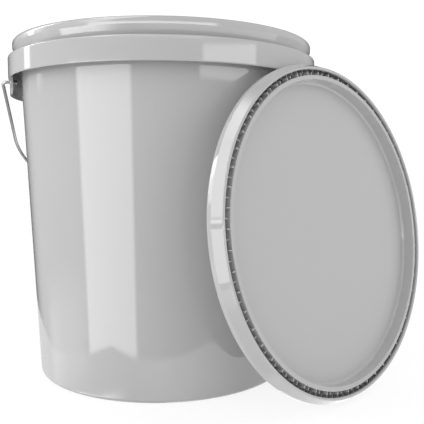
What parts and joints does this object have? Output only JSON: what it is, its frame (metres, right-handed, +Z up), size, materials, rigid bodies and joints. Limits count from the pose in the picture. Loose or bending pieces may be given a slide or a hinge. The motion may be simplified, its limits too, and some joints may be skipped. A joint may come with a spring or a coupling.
{
  "type": "lidded plastic fermenting bucket",
  "caption": "Tapered round plastic fermenting bucket with a deep collar, wire bail with a plastic grip, a fitted lid and a spare ribbed lid leaning on it.",
  "frame": {"origin": "centre of the flat base, where the bucket stands on the floor", "axes": "+Z up along the bucket's axis; X along the pivot axis of the bail, from ear to ear; +Y to the back, where the bail hangs; the spare lid leans at the front, towards +X and -Y"},
  "size_m": [0.5255, 0.459, 0.4023],
  "materials": {
    "bucket": "smooth gloss",
    "lid": "smooth gloss",
    "grip": "smooth gloss",
    "wire": "bright plated"
  },
  "bodies": {
    "bucket": {"bucket_body": "bucket"},
    "bail": {"bail_wire": "wire"},
    "grip": {"bail_grip": "grip"},
    "lid": {"fitted_lid": "lid"},
    "spare_lid": {"leaning_lid": "lid"}
  },
  "joints": [
    {"name": "bail_swing", "type": "hinge", "parent": "bucket", "child": "bail", "pos_m": [0, 0, 0.3578], "axis": [1, 0, 0], "range_deg": [0, 200]},
    {"name": "grip_spin", "type": "hinge", "parent": "bail", "child": "grip", "pos_m": [0, 0.17973, 0.21226], "axis": [1, 0, 0], "continuous": true},
    {"name": "lid_lift", "type": "slide", "parent": "bucket", "child": "lid", "axis": [0, 0, 1], "range_m": [0, 0.06]},
    {"name": "spare_lid_away", "type": "slide", "parent": "bucket", "child": "spare_lid", "axis": [0.594, -0.8045, 0], "range_m": [0, 0.15]}
  ]
}
